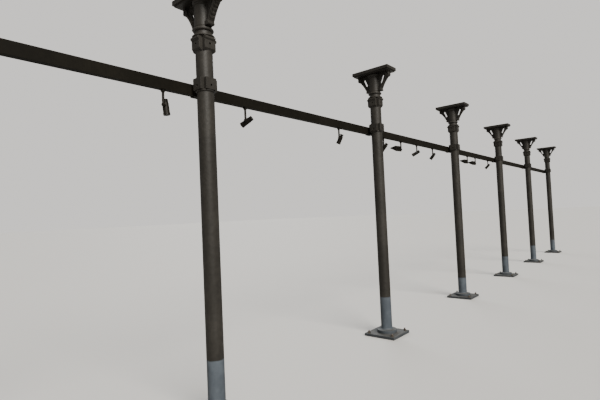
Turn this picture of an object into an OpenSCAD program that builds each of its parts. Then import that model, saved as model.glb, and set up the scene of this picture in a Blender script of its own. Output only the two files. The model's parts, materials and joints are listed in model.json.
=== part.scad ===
// A row of seven cast-iron mill columns that carries a long lighting beam with spotlights.
// X runs along the row, Y across it and Z up. The origin lies on the floor at the middle of the row.

/* [Row] */
// Distance between two columns
bay = 3300; // [2600:50:4200]

/* [Column foot] */
// Side of the square foot plate
foot_w = 500; // [460:10:560]
// Thickness of the foot plate
foot_t = 40; // [30:1:60]
// Distance between the foot bolts
foot_bolt_pitch = 400; // [380:5:410]
// Diameter of the foot bolt holes
foot_hole_d = 24; // [16:1:30]
// Diameter of the round base above the foot plate
base_d = 300; // [255:5:330]
// Height of the round base, up to its hollow curve
base_h = 45; // [20:1:120]
// Radius of the hollow curve between the base and the shaft
base_cove_r = 32; // [15:1:35]

/* [Column shaft] */
// Outer diameter of the shaft
shaft_d = 170; // [150:1:180]
// Thickness of the iron around the hollow core
shaft_wall = 25; // [18:1:40]
// Height of the shaft casting, up to its joint with the capital
shaft_h = 3800; // [3500:10:4200]
// How far the bead under the joint stands out from the shaft
neck_bead = 19; // [14:1:24]
// Height of the bead under the joint
neck_bead_h = 30; // [20:2:36]
// How far the thin collar above the upper seats stands out from the shaft
collar = 28; // [20:1:32]
// Height of the thin collar above the upper seats
collar_h = 18; // [12:1:24]

/* [Line shaft seats] */
// Distance from the joint down to the top of the upper seats
high_seat_drop = 110; // [100:1:140]
// Height of the upper seats, with their lip
high_seat_h = 138; // [120:1:150]
// Distance from the joint down to the top of the lower seats
low_seat_drop = 515; // [480:5:700]
// Height of the lower seats
low_seat_h = 115; // [100:1:140]
// Height of the lower bolt hole above the lower edge of its seat
low_hole_rise = 42; // [30:1:60]
// Width of a seat
seat_w = 120; // [90:1:140]
// Distance from the column's axis to the face of a seat
seat_face = 100; // [96:1:110]
// How far the lip of an upper seat stands out from its face
seat_lip = 14; // [6:1:20]
// Height of the lip of an upper seat
lip_h = 36; // [30:1:44]
// Diameter of the bolt hole in a seat
seat_hole_d = 22; // [12:1:30]

/* [Capital] */
// Height of the capital, from its joint to the top of its head plate
cap_h = 340; // [330:5:400]
// Length of the head plate across the row
head_l = 630; // [600:5:700]
// Width of the head plate along the row
head_w = 280; // [220:5:320]
// Thickness of the head plate above its moulding
head_t = 46; // [30:1:60]
// Height of the moulding under the head plate, which steps in by as much
moulding = 16; // [8:1:20]
// Thickness of a bracket's web
web_t = 30; // [20:1:50]
// Width of the slit in a bracket's web
slit_w = 32; // [20:1:36]
// Width of the rib along a bracket's curved edge
rib_w = 78; // [50:1:100]
// Thickness of the rib along a bracket's curved edge
rib_t = 14; // [8:1:18]
// Radius of a bracket's curved edge
curve_r = 500; // [440:10:900]
// Distance from the column's axis to the front of a bracket's foot
toe_reach = 129; // [122:1:136]
// Distance from the column's axis to the front of a bracket's scroll
scroll_reach = 274; // [265:1:284]
// Radius of the scroll at the end of a bracket
scroll_r = 31; // [26:1:36]
// Radius of the eye in a scroll
eye_r = 10; // [5:1:12]

/* [Lighting beam] */
// Height of the beam's section
beam_h = 108; // [80:1:115]
// Width of the beam's section
beam_w = 60; // [50:1:80]
// Thickness of the beam's steel
beam_wall = 4; // [2:0.5:8]
// How far the beam runs past the first and the last column
beam_end = 150; // [90:5:160]
// Height of the beam's top above the lower bolt holes
beam_rise = 38; // [25:1:45]
// Thickness of the cradles that hold the beam on the columns
cradle_t = 8; // [5:1:12]
// Width of the cradles along the row
cradle_w = 110; // [80:5:180]
// Height of the cradles' front lip
cradle_lip = 22; // [10:1:40]

/* [Spotlights] */
// Diameter of the round canopy under the beam
canopy_d = 46; // [40:1:54]
// Height of the round canopy under the beam
canopy_h = 16; // [14:1:24]
// Diameter of a spotlight's stem
stem_d = 24; // [16:1:26]
// Distance from the beam down to the tilting pin
drop = 142; // [130:1:160]
// Diameter of the tilting pin
pin_d = 10; // [6:1:12]
// Play round each pin and between faces that turn on each other
play = 0.3; // [0.2:0.05:0.5]

/* [Hidden] */
columns = 7;
COLUMN = [for (i = [1:columns]) i];
BAY = [for (i = [1:columns - 1]) i];
// One row for each spotlight: place in bays from the first column, turn about the stem, dip of the nose, kind
LAMPS = [
    [0.883, 125, 96, "spot"],
    [1.195, 112, 29, "spot"],
    [1.744, 106, 63, "spot"],
    [2.136, 100, 50, "spot"],
    [2.324, 80, 62, "flood"],
    [2.520, 126, 28, "spot"],
    [2.742, 109, 51, "spot"],
    [3.356, 80, 58, "flood"],
    [3.529, 78, 62, "flood"],
    [3.832, 110, 45, "spot"]
];
LAMP = [for (i = [1:len(LAMPS)]) i];
$fn = 64;
iron = [0.20, 0.20, 0.19];
steel = [0.15, 0.15, 0.15];
black = [0.08, 0.08, 0.08];

shaft_r = shaft_d / 2;
core_r = shaft_r - shaft_wall;
row_l = (columns - 1) * bay;

// Chamfer on both castings at their joint, and the length of bare shaft between the bead and the joint
joint_chamfer = 3;
joint_neck = 13;

high_seat_z = shaft_h - high_seat_drop - high_seat_h;
low_seat_z = shaft_h - low_seat_drop - low_seat_h;
high_hole_z = high_seat_z + high_seat_h / 2;
low_hole_z = low_seat_z + low_hole_rise;
// Height of an upper seat's sloping underside, and the seam between its lip and the collar
seat_slope = 22;
seam = 7;

beam_y = seat_face + cradle_t + beam_w / 2;
beam_top = low_hole_z + beam_rise;
beam_low = beam_top - beam_h;
pin_z = beam_low - drop;

// Underside of the moulding, the swelling of the neck right below it and the small ring under that
head_z = cap_h - head_t - moulding;
swell = 15;
swell_h = 46;
ring = 8;
ring_h = 10;
ring_gap = 9;

function column_x(i) = (i - 1) * bay - row_l / 2;
function lamp_x(i) = LAMPS[i - 1][0] * bay - row_l / 2;
function lamp_turn(i) = LAMPS[i - 1][1];
function lamp_dip(i) = LAMPS[i - 1][2];
function lamp_is_flood(i) = LAMPS[i - 1][3] == "flood";

// A round bead on the shaft, given by how far it stands out and its height
module bead(out, h) {
    rotate_extrude($fn = 96) {
        translate([shaft_r + out - h / 2, 0]) circle(d = h, $fn = 32);
        translate([0, -h / 2]) square([shaft_r + out - h / 2, h]);
    }
}

// An upper seat, with a sloping underside and a lip above
module high_seat() {
    edge = 6;
    rotate([90, 0, 90]) linear_extrude(seat_w, center = true) polygon([
        [0, 0],
        [shaft_r - 8, 0],
        [seat_face, seat_slope],
        [seat_face, high_seat_h - lip_h],
        [seat_face + seat_lip, high_seat_h - lip_h + seat_lip],
        [seat_face + seat_lip, high_seat_h - edge],
        [seat_face + seat_lip - edge, high_seat_h],
        [0, high_seat_h]
    ]);
}

module low_seat() {
    translate([-seat_w / 2, 0, 0]) cube([seat_w, seat_face, low_seat_h]);
}

module seat_hole(z) {
    reach = seat_face + cradle_t + 2;
    translate([0, reach, z]) rotate([90, 0, 0]) cylinder(d = seat_hole_d, h = 2 * reach);
}

module foot() {
    difference() {
        translate([-foot_w / 2, -foot_w / 2, 0]) cube([foot_w, foot_w, foot_t]);
        for (x = [-1, 1], y = [-1, 1])
            translate([x * foot_bolt_pitch / 2, y * foot_bolt_pitch / 2, -1])
                cylinder(d = foot_hole_d, h = foot_t + 2);
    }
    translate([0, 0, foot_t]) rotate_extrude($fn = 96) difference() {
        union() {
            square([base_d / 2, base_h]);
            square([shaft_r + base_cove_r, base_h + base_cove_r]);
        }
        translate([shaft_r + base_cove_r, base_h + base_cove_r]) circle(r = base_cove_r);
    }
}

module shaft(i) {
    low_bead = 12;
    low_bead_h = 16;
    color(iron) translate([column_x(i), 0, 0]) difference() {
        union() {
            foot();
            cylinder(r = shaft_r, h = shaft_h - joint_chamfer, $fn = 96);
            translate([0, 0, shaft_h - joint_chamfer])
                cylinder(r1 = shaft_r, r2 = shaft_r - joint_chamfer, h = joint_chamfer, $fn = 96);
            for (side = [0, 180]) rotate([0, 0, side]) {
                translate([0, 0, low_seat_z]) low_seat();
                translate([0, 0, high_seat_z]) high_seat();
            }
            translate([0, 0, low_seat_z - low_bead_h / 2]) bead(low_bead, low_bead_h);
            translate([0, 0, high_seat_z + high_seat_h + seam + collar_h / 2]) bead(collar, collar_h);
            translate([0, 0, shaft_h - joint_neck - neck_bead_h / 2]) bead(neck_bead, neck_bead_h);
            // Hidden under the collar, this fills the seam on the seats
            translate([-seat_w / 2, 3 - seat_face, high_seat_z + high_seat_h - 1])
                cube([seat_w, 2 * (seat_face - 3), seam + 2]);
        }
        translate([0, 0, -1]) cylinder(r = core_r, h = shaft_h + 2, $fn = 96);
        seat_hole(low_hole_z);
        seat_hole(high_hole_z);
    }
}

// Centre of the circle of radius r through points a and b, on the right of the way from a to b
function arc_centre(a, b, r) =
    let (m = (a + b) / 2, d = b - a, k = sqrt(r * r - d * d / 4) / norm(d))
    m + [d[1], -d[0]] * k;

// A bracket's points, given by the distance from the column's axis and the height above the joint
toe_h = 40;
knob_r = 9;
scroll_c = [scroll_reach - scroll_r, head_z - 50];
curve_a = [toe_reach + 6, toe_h + 6];
curve_b = scroll_c + [0.6, -0.25] * scroll_r;
curve_c = arc_centre(curve_a, curve_b, curve_r);
slit_a = [toe_reach + 2, toe_h + 90];
slit_b = scroll_c - [75, 8];

// One bracket's full outline, from the column's axis to its curved edge, toe and scroll
module bracket_outline() {
    difference() {
        polygon([
            [0, 0],
            [toe_reach, 0],
            [toe_reach, toe_h],
            curve_a,
            curve_b,
            [curve_b[0], head_z],
            [0, head_z]
        ]);
        translate(curve_c) circle(r = curve_r, $fn = 180);
    }
    bracket_ends();
}

// A knob on the toe, and the scroll, which stands out a little from the end face above it
module bracket_ends() {
    translate([toe_reach + 6 - knob_r, knob_r + 2]) circle(r = knob_r);
    translate(scroll_c) circle(r = scroll_r);
    translate(scroll_c) square([scroll_r - 2, head_z - scroll_c[1]]);
}

module slit() {
    way = slit_b - slit_a;
    for (p = [slit_a, slit_b]) translate(p) circle(d = slit_w + 2);
    translate(slit_a) rotate(atan2(way[1], way[0]))
        translate([0, -slit_w / 2]) square([norm(way), slit_w]);
}

module bracket() {
    rotate([90, 0, 90]) {
        linear_extrude(web_t, center = true) difference() {
            bracket_outline();
            slit();
            scroll_eye();
        }
        linear_extrude(rib_w, center = true) difference() {
            union() {
                intersection() {
                    bracket_outline();
                    translate(curve_c) circle(r = curve_r + rib_t, $fn = 180);
                }
                square([toe_reach, toe_h]);
                bracket_ends();
            }
            scroll_eye();
        }
    }
}

module scroll_eye() {
    translate(scroll_c + [10, 12]) circle(r = eye_r);
}

module head_plate() {
    translate([-head_w / 2, -head_l / 2, head_z + moulding]) cube([head_w, head_l, head_t]);
    translate([-head_w / 2 + moulding, -head_l / 2 + moulding, head_z])
        cube([head_w - 2 * moulding, head_l - 2 * moulding, moulding]);
}

module capital(i) {
    cap_floor = 20;
    color(iron) translate([column_x(i), 0, shaft_h]) difference() {
        union() {
            cylinder(r1 = shaft_r - joint_chamfer, r2 = shaft_r, h = joint_chamfer, $fn = 96);
            translate([0, 0, joint_chamfer]) cylinder(r = shaft_r, h = head_z - joint_chamfer, $fn = 96);
            translate([0, 0, head_z - swell_h / 2 - 1]) bead(swell, swell_h);
            translate([0, 0, head_z - swell_h - ring_gap - ring_h / 2]) bead(ring, ring_h);
            for (side = [0, 180]) rotate([0, 0, side]) bracket();
            head_plate();
        }
        translate([0, 0, -1]) cylinder(r = core_r, h = head_z - cap_floor + 1, $fn = 96);
    }
}

// One bay of the beam, closed where the row ends
module beam(i) {
    first = i == 1;
    last = i == columns - 1;
    x0 = column_x(i) - (first ? beam_end : 0);
    x1 = column_x(i + 1) + (last ? beam_end : 0);
    core_a = x0 + (first ? beam_wall : -1);
    core_b = x1 - (last ? beam_wall : -1);
    color(steel) difference() {
        translate([x0, beam_y - beam_w / 2, beam_low]) cube([x1 - x0, beam_w, beam_h]);
        translate([core_a, beam_y - beam_w / 2 + beam_wall, beam_low + beam_wall])
            cube([core_b - core_a, beam_w - 2 * beam_wall, beam_h - 2 * beam_wall]);
    }
}

// A cradle on each column: back plate with a countersunk hole, shelf and front lip
module beam_brackets() {
    front = beam_w + 2 * cradle_t;
    // Thickness of steel left under the countersink
    land = 2;
    sink = cradle_t - land;
    color(steel) for (i = COLUMN) translate([column_x(i), 0, 0]) difference() {
        translate([0, seat_face, beam_low - cradle_t]) rotate([90, 0, 90])
            linear_extrude(cradle_w, center = true) polygon([
                [0, 0],
                [front, 0],
                [front, cradle_t + cradle_lip],
                [front - cradle_t, cradle_t + cradle_lip],
                [front - cradle_t, cradle_t],
                [cradle_t, cradle_t],
                [cradle_t, cradle_t + beam_h],
                [0, cradle_t + beam_h]
            ]);
        seat_hole(low_hole_z);
        translate([0, seat_face + land, low_hole_z]) rotate([-90, 0, 0])
            cylinder(d1 = seat_hole_d, d2 = seat_hole_d + 2 * sink, h = sink);
    }
}

socket_h = 11;
knuckle_r = 15;
knuckle_t = stem_d + 2;
head_off = 8;
// Distance from the stem's axis to the side of a head
side = knuckle_t / 2 + play + head_off;

module lamp_adaptors() {
    chamfer = 4;
    color(black) for (i = LAMP) translate([lamp_x(i), beam_y, beam_low - canopy_h]) difference() {
        union() {
            cylinder(d1 = canopy_d - 2 * chamfer, d2 = canopy_d, h = chamfer);
            translate([0, 0, chamfer]) cylinder(d = canopy_d, h = canopy_h - chamfer);
        }
        translate([0, 0, -1]) cylinder(d = pin_d + 2 * play, h = socket_h + 1);
    }
}

// Stem of a spotlight, with its spigot in the canopy and the knuckle that holds the tilting pin
module lamp_arm(i) {
    top = beam_low - canopy_h - play;
    flange_h = 12;
    color(black) translate([lamp_x(i), beam_y, 0]) rotate([0, 0, lamp_turn(i)]) difference() {
        union() {
            translate([0, 0, top - 1]) cylinder(d = pin_d, h = socket_h);
            translate([0, 0, top - flange_h]) cylinder(d1 = stem_d, d2 = stem_d + 12, h = flange_h);
            translate([0, 0, pin_z]) cylinder(d = stem_d, h = top - pin_z - 1);
            translate([0, 0, pin_z]) rotate([90, 0, 0])
                cylinder(r = knuckle_r, h = knuckle_t, center = true);
        }
        translate([0, 0, pin_z]) rotate([90, 0, 0])
            cylinder(d = pin_d + 2 * play, h = knuckle_t + 2, center = true);
    }
}

module lamp_head(i) {
    color(black) translate([lamp_x(i), beam_y, pin_z]) rotate([0, 0, lamp_turn(i)])
        rotate([0, lamp_dip(i), 0]) if (lamp_is_flood(i)) mirror([0, 1, 0]) flood_head(); else spot_head();
}

// The tilting pin, its knob and the boss that joins it to the side of the head
module trunnion() {
    face = knuckle_t / 2 + play;
    knob_h = 8;
    rotate([90, 0, 0]) {
        translate([0, 0, -face - knob_h]) cylinder(r = pin_d, h = knob_h);
        translate([0, 0, -face - 1]) cylinder(d = pin_d, h = 2 * face + 2);
        translate([0, 0, face]) cylinder(r = knuckle_r, h = head_off + 6);
    }
}

spot_r = 31;
spot_front = 86;
spot_back = 64;
spot_neck = 28;
snoot_h = 20;
snoot_depth = 14;
snoot_wall = 5;
fin_t = 5;

// A round spotlight with its nose along +X, an open snoot and cooling fins behind
module spot_head() {
    fins = 4;
    fin_gap = (spot_back - spot_neck - fins * fin_t) / (fins - 0.5);
    snoot_r = spot_r + 2;
    trunnion();
    translate([0, -side - spot_r, 0]) rotate([0, 90, 0]) {
        difference() {
            union() {
                translate([0, 0, -spot_neck]) cylinder(r = spot_r, h = spot_front + spot_neck);
                translate([0, 0, spot_front - snoot_h]) cylinder(r = snoot_r, h = snoot_h);
            }
            translate([0, 0, spot_front - snoot_depth]) cylinder(r = snoot_r - snoot_wall, h = snoot_depth + 1);
        }
        translate([0, 0, -spot_back]) cylinder(r = spot_r - 12, h = spot_back);
        for (k = [0:fins - 1]) translate([0, 0, -spot_back + k * (fin_t + fin_gap)])
            cylinder(r = spot_r - 3, h = fin_t);
    }
}

flood_w = 150;
flood_h = 142;
flood_low = 36;
flood_front = 27;
flood_frame = 14;
flood_rim = 8;
flood_pocket = 6;
flood_back = [-57, 7];
back_h = 16;
groove_w = 10;
groove_depth = 8;

// A wide floodlight with its nose along +X: a wedge with a framed front and a grooved back
module flood_head() {
    grooves = 7;
    frame_x = flood_front - flood_frame;
    low_back = flood_back - [0, back_h / 2];
    way = [frame_x, -flood_low] - low_back;
    trunnion();
    translate([0, -side - flood_w / 2, 0]) difference() {
        rotate([90, 0, 0]) linear_extrude(flood_w, center = true) polygon([
            low_back,
            flood_back + [0, back_h / 2],
            [frame_x, flood_h - flood_low],
            [flood_front, flood_h - flood_low],
            [flood_front, -flood_low],
            [frame_x, -flood_low]
        ]);
        translate([flood_front - flood_pocket, flood_rim - flood_w / 2, flood_rim - flood_low])
            cube([flood_pocket + 1, flood_w - 2 * flood_rim, flood_h - 2 * flood_rim]);
        for (k = [1:grooves])
            translate([low_back[0], (k / (grooves + 1) - 0.5) * flood_w, low_back[1]])
                rotate([0, -atan2(way[1], way[0]), 0]) translate([flood_rim, -groove_w / 2, -1])
                    cube([norm(way) - 2 * flood_rim, groove_w, groove_depth + 1]);
    }
}

for (i = COLUMN) {
    shaft(i);
    capital(i);
}
for (i = BAY) beam(i);
beam_brackets();
lamp_adaptors();
for (i = LAMP) {
    lamp_arm(i);
    lamp_head(i);
}
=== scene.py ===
import json
import math

import bmesh
import bpy
from mathutils import Matrix, Vector


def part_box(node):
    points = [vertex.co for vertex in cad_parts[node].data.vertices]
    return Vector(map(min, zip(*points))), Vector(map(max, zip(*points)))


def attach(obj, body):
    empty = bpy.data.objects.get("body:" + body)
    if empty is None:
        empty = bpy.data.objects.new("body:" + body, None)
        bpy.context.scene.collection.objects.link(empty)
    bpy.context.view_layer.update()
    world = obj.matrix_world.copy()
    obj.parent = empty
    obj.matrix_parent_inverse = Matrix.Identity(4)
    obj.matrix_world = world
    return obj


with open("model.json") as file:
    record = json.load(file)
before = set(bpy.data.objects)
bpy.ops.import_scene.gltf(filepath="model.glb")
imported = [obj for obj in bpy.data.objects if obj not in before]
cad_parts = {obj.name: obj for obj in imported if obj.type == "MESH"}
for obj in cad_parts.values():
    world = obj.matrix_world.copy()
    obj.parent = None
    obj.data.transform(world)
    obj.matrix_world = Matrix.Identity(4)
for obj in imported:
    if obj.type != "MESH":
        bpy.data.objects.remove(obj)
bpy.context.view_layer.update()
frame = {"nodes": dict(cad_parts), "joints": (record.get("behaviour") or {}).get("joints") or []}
nodes = frame["nodes"]
joints = {joint["name"]: joint for joint in frame["joints"]}
fixedBody = "columns_and_beam"
columnCount = 7
lampCount = 10
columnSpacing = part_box("capital_2")[0][0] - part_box("capital_1")[0][0]
columnPlaces = [(i - (columnCount - 1) / 2) * columnSpacing for i in range(columnCount)]
beamLow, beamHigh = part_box("beam_1")
cradleLow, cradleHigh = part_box("beam_brackets")
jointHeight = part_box("capital_1")[0][2]  # where capitals stand on shafts
print("frame loaded:", len(nodes), "nodes, bay", round(columnSpacing, 3), "m")


def addObject(name, data):
    thing = bpy.data.objects.new(name, data)
    bpy.context.scene.collection.objects.link(thing)
    return thing


# the camera stands beside the row's first bay
cameraView = {
    "alongRow": 0.7405,  # metres past the first column
    "asideRow": -3.3564,
    "height": 1.91,
    "yaw": 40.57,  # degrees from +X towards +Y
    "pitch": 2.03,
    "roll": -2.563,
    "lens": 25.316,  # mm, for the sensor's width
    "sensor": 36.0,
    "farthest": 300.0,
}


def placeCamera(view):
    yaw, pitch, roll = (math.radians(view[key]) for key in ("yaw", "pitch", "roll"))
    ahead = Vector((math.cos(yaw) * math.cos(pitch), math.sin(yaw) * math.cos(pitch), math.sin(pitch)))
    level = Vector((math.sin(yaw), -math.cos(yaw), 0))
    up = level.cross(ahead)
    right = math.cos(roll) * level + math.sin(roll) * up
    top = math.cos(roll) * up - math.sin(roll) * level
    data = bpy.data.cameras.new("rowCamera")
    data.sensor_width = view["sensor"]
    data.lens = view["lens"]
    data.clip_end = view["farthest"]
    camera = addObject("rowCamera", data)
    place = Vector((columnPlaces[0] + view["alongRow"], view["asideRow"], view["height"]))
    camera.matrix_world = Matrix.Translation(place) @ Matrix((right, top, -ahead)).transposed().to_4x4()
    bpy.context.scene.camera = camera


placeCamera(cameraView)
print("camera placed")


# short ways to make shader nodes


def addNode(tree, kind, **settings):
    node = tree.nodes.new(kind)
    for key, value in settings.items():
        setattr(node, key, value)
    return node


def feed(tree, socket, value):
    if isinstance(value, bpy.types.NodeSocket):
        tree.links.new(value, socket)
    elif socket.type == "RGBA":
        socket.default_value = (*value, 1)
    else:
        socket.default_value = value


def calc(tree, operation, a, b=0.0, clamp=False):
    node = addNode(tree, "ShaderNodeMath", operation=operation, use_clamp=clamp)
    feed(tree, node.inputs[0], a)
    feed(tree, node.inputs[1], b)
    return node.outputs[0]


def plus(tree, a, b, clamp=False):
    return calc(tree, "ADD", a, b, clamp)


def times(tree, a, b, clamp=False):
    return calc(tree, "MULTIPLY", a, b, clamp)


def blendColors(tree, mask, a, b, how="MIX"):
    node = addNode(tree, "ShaderNodeMix", data_type="RGBA", blend_type=how)
    for number, value in ((0, mask), (6, a), (7, b)):
        feed(tree, node.inputs[number], value)
    return node.outputs[2]


def ramp(tree, value, low, high, toLow=0.0, toHigh=1.0):
    node = addNode(tree, "ShaderNodeMapRange", interpolation_type="SMOOTHSTEP")
    sockets = {"Value": value, "From Min": low, "From Max": high, "To Min": toLow, "To Max": toHigh}
    for name, number in sockets.items():
        feed(tree, node.inputs[name], number)
    return node.outputs[0]


def noise(tree, vector, scale, detail, rough):
    node = addNode(tree, "ShaderNodeTexNoise")
    for name, value in (("Vector", vector), ("Scale", scale), ("Detail", detail), ("Roughness", rough)):
        feed(tree, node.inputs[name], value)
    return node.outputs["Fac"]


def splitVector(tree, vector):
    node = addNode(tree, "ShaderNodeSeparateXYZ")
    feed(tree, node.inputs[0], vector)
    return node.outputs


def joinVector(tree, *parts):
    node = addNode(tree, "ShaderNodeCombineXYZ")
    for socket, value in zip(node.inputs, parts):
        feed(tree, socket, value)
    return node.outputs[0]


def newGroup(name, inputs, outputs):
    tree = bpy.data.node_groups.new(name, "ShaderNodeTree")
    kinds = {"value": "NodeSocketFloat", "vector": "NodeSocketVector", "color": "NodeSocketColor"}
    for way, sockets in (("INPUT", inputs), ("OUTPUT", outputs)):
        for label, kind in sockets.items():
            tree.interface.new_socket(label, in_out=way, socket_type=kinds[kind])
    return tree, addNode(tree, "NodeGroupInput").outputs, addNode(tree, "NodeGroupOutput").inputs


def useGroup(tree, group, values=()):
    node = addNode(tree, "ShaderNodeGroup", node_tree=group)
    for name, value in dict(values).items():
        feed(tree, node.inputs[name], value)
    return node.outputs


# effects that several materials share; a pattern is the scale, detail and roughness of a noise,
# and an edge is where it begins and ends to count


rowSpaceLook = {
    "strokeStretch": 0.06,  # brush strokes run down the columns
    "columnShift": 3.7,  # so that no column repeats its neighbour
}


def makeRowSpace(look):
    outputs = {"Place": "vector", "Stretched": "vector", "Height": "value", "Number": "value"}
    tree, _, out = newGroup("rowSpace", {}, outputs)
    place = addNode(tree, "ShaderNodeTexCoord").outputs["Object"]
    x, y, z = splitVector(tree, place)
    bays = plus(tree, calc(tree, "DIVIDE", x, columnSpacing), 0.5)
    number = calc(tree, "FLOOR", bays)
    near = times(tree, calc(tree, "SUBTRACT", calc(tree, "FRACT", bays), 0.5), columnSpacing)
    drawn = plus(tree, times(tree, z, look["strokeStretch"]), times(tree, number, look["columnShift"]))
    feed(tree, out["Place"], place)
    feed(tree, out["Height"], z)
    feed(tree, out["Stretched"], joinVector(tree, near, y, drawn))
    feed(tree, out["Number"], plus(tree, number, (columnCount + 1) / 2))
    return tree


castGrainLook = {
    "fine": (3.0, 0.6),  # detail and roughness, the scale is the material's own
    "fineDepth": 0.35,
    "soft": (2.0, 0.5),
    "softDepth": 1.6,
    "pitScale": 0.16,  # share of the grain's scale
    "pitEdge": (0.05, 0.16),
    "pitDepth": 0.35,
}


def makeCastGrain(look):
    # sand-cast skin under paint: soft swells, fine grain and a few small pits
    inputs = {"Place": "vector", "Grain": "value", "Swell": "value"}
    tree, given, out = newGroup("castGrain", inputs, {"Height": "value"})
    fine = noise(tree, given["Place"], given["Grain"], *look["fine"])
    soft = noise(tree, given["Place"], given["Swell"], *look["soft"])
    pits = addNode(tree, "ShaderNodeTexVoronoi")
    feed(tree, pits.inputs["Vector"], given["Place"])
    feed(tree, pits.inputs["Scale"], times(tree, given["Grain"], look["pitScale"]))
    hollow = ramp(tree, pits.outputs["Distance"], *look["pitEdge"], -look["pitDepth"], 0.0)
    body = plus(tree, times(tree, fine, look["fineDepth"]), times(tree, soft, look["softDepth"]))
    feed(tree, out["Height"], plus(tree, body, hollow))
    return tree


brushLook = {
    "blotches": (2.3, 5.0, 0.62),
    "blotchEdge": (0.36, 0.68),
    "strokes": (150.0, 2.0, 0.5),
    "strokeEdge": (0.2, 0.8),
    "strokeShare": (0.45, 1.0),  # of the thin colour, in the darkest and in the lightest stroke
    "strokeRelief": 0.25,
    "mottle": (31.0, 4.0, 0.6),
    "mottleEdge": (0.3, 0.72),
    "mottleShade": (0.86, 1.1),
    "mottleDullness": 0.16,
    "strokeDullness": 0.07,
}


def makeBrushedPaint(look):
    # brush strokes, blotches where coats differ, and an uneven sheen
    inputs = {"Place": "vector", "Stretched": "vector", "Base Roughness": "value"}
    colors = {"Color": "color", "Thin Color": "color"}
    outputs = {"Color": "color", "Roughness": "value", "Strokes": "value"}
    tree, given, out = newGroup("brushedPaint", {**inputs, **colors}, outputs)
    blotches = ramp(tree, noise(tree, given["Place"], *look["blotches"]), *look["blotchEdge"])
    strokes = noise(tree, given["Stretched"], *look["strokes"])
    mottle = noise(tree, given["Place"], *look["mottle"])
    mask = times(tree, blotches, ramp(tree, strokes, *look["strokeEdge"], *look["strokeShare"]))
    color = blendColors(tree, mask, given["Color"], given["Thin Color"])
    shade = ramp(tree, mottle, *look["mottleEdge"], *look["mottleShade"])
    shaded = blendColors(tree, 1.0, color, joinVector(tree, shade, shade, shade), "MULTIPLY")
    dull = times(tree, mottle, look["mottleDullness"])
    dull = plus(tree, dull, times(tree, strokes, look["strokeDullness"]))
    feed(tree, out["Color"], shaded)
    feed(tree, out["Roughness"], plus(tree, given["Base Roughness"], dull, clamp=True))
    feed(tree, out["Strokes"], strokes)
    return tree


edgeWearLook = {
    "samples": 4,
    "turnEdge": (0.02, 0.22),  # how far the surface turns within the wear's width
    "patches": (46.0, 5.0, 0.7),
    "patchEdge": (0.42, 0.62),
}


def makeEdgeWear(look):
    # paint rubbed thin on the edges, patchy
    inputs = {"Place": "vector", "Width": "value", "Amount": "value"}
    tree, given, out = newGroup("edgeWear", inputs, {"Mask": "value", "Normal": "vector"})
    bevel = addNode(tree, "ShaderNodeBevel", samples=look["samples"])
    feed(tree, bevel.inputs["Radius"], given["Width"])
    likeness = addNode(tree, "ShaderNodeVectorMath", operation="DOT_PRODUCT")
    feed(tree, likeness.inputs[0], bevel.outputs[0])
    feed(tree, likeness.inputs[1], addNode(tree, "ShaderNodeNewGeometry").outputs["Normal"])
    edge = ramp(tree, calc(tree, "SUBTRACT", 1.0, likeness.outputs["Value"]), *look["turnEdge"])
    patches = ramp(tree, noise(tree, given["Place"], *look["patches"]), *look["patchEdge"])
    feed(tree, out["Mask"], times(tree, times(tree, edge, patches), given["Amount"], clamp=True))
    feed(tree, out["Normal"], bevel.outputs[0])
    return tree


dustLook = {
    "color": (0.15, 0.135, 0.11),
    "levelEdge": (0.35, 0.95),  # of the surface, 0 upright and 1 level
    "drifts": (17.0, 5.0, 0.65),
    "driftEdge": (0.25, 0.7),
    "driftShare": (0.45, 1.0),
    "dullness": 0.4,
}


def makeDustFall(look):
    # dust that settles on faces that look up, thicker in soft drifts
    tree, given, out = newGroup("dustFall", {"Place": "vector", "Amount": "value"}, {"Mask": "value"})
    upward = splitVector(tree, addNode(tree, "ShaderNodeNewGeometry").outputs["Normal"])[2]
    flat = ramp(tree, upward, *look["levelEdge"])
    drifts = noise(tree, given["Place"], *look["drifts"])
    drifts = ramp(tree, drifts, *look["driftEdge"], *look["driftShare"])
    feed(tree, out["Mask"], times(tree, times(tree, flat, drifts), given["Amount"], clamp=True))
    return tree


castSeamLook = {
    "edge": (0.0004, 0.0026),  # metres from the row's middle plane
    "grinding": (5.0, 3.0, 0.5),
    "grindingEdge": (0.38, 0.6),
    "leastHeight": 0.25,
}


def makeCastSeam(look):
    # the ridge left where the two halves of the mould met, ground back in places
    tree, given, out = newGroup("castSeam", {"Place": "vector"}, {"Height": "value"})
    across = calc(tree, "ABSOLUTE", splitVector(tree, given["Place"])[1])
    ridge = ramp(tree, across, *look["edge"], 1.0, 0.0)
    grinding = noise(tree, given["Place"], *look["grinding"])
    kept = ramp(tree, grinding, *look["grindingEdge"], look["leastHeight"], 1.0)
    feed(tree, out["Height"], times(tree, ridge, kept))
    return tree


rowSpace = makeRowSpace(rowSpaceLook)
castSeam = makeCastSeam(castSeamLook)
castGrain = makeCastGrain(castGrainLook)
brushedPaint = makeBrushedPaint(brushLook)
edgeWear = makeEdgeWear(edgeWearLook)
dustFall = makeDustFall(dustLook)


def newMaterial(name, sockets):
    material = bpy.data.materials.new(name)
    material.use_nodes = True
    tree = material.node_tree
    shader = tree.nodes["Principled BSDF"]
    for key, value in sockets.items():
        feed(tree, shader.inputs[key], value)
    return material, tree, shader


def bumpFrom(tree, height, distance, normal=None):
    node = addNode(tree, "ShaderNodeBump")
    feed(tree, node.inputs["Strength"], 1.0)
    feed(tree, node.inputs["Distance"], distance)
    feed(tree, node.inputs["Height"], height)
    if normal is not None:
        feed(tree, node.inputs["Normal"], normal)
    return node.outputs[0]


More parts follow.
